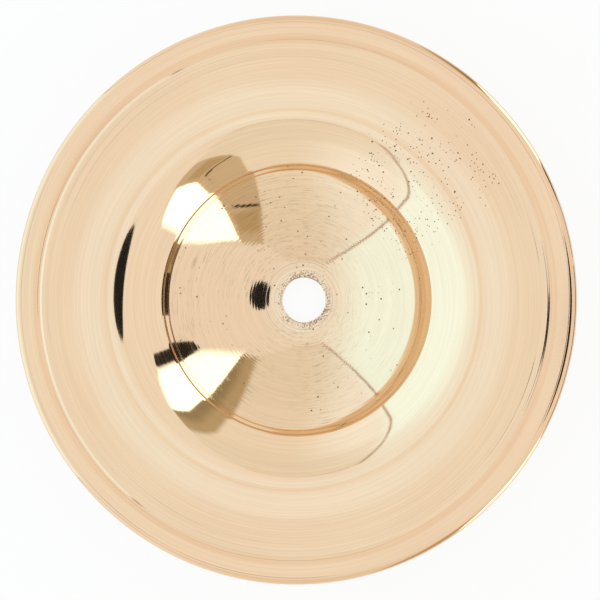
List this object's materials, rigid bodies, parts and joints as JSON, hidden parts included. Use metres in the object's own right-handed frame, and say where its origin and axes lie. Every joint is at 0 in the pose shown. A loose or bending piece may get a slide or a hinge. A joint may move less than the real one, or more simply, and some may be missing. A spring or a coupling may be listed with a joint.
{
  "type": "bell cymbal",
  "caption": "Small thick cymbal, nearly all bell: a round cup with a band of two fine turned steps inside, a wide flat flange, a rounded rim and a centre hole for a stand post.",
  "frame": {"origin": "centre of the flat crown seat round the hole, on the surface that the crown rests on", "axes": "+Z along the axis of the cymbal, out of its hollow side; +X to the right and +Y up in the picture"},
  "size_m": [0.1524, 0.1524, 0.0257],
  "materials": {
    "bronze": "polished bell bronze with fine turning lines"
  },
  "bodies": {
    "root": {"bell_cymbal": "bronze"}
  },
  "joints": []
}
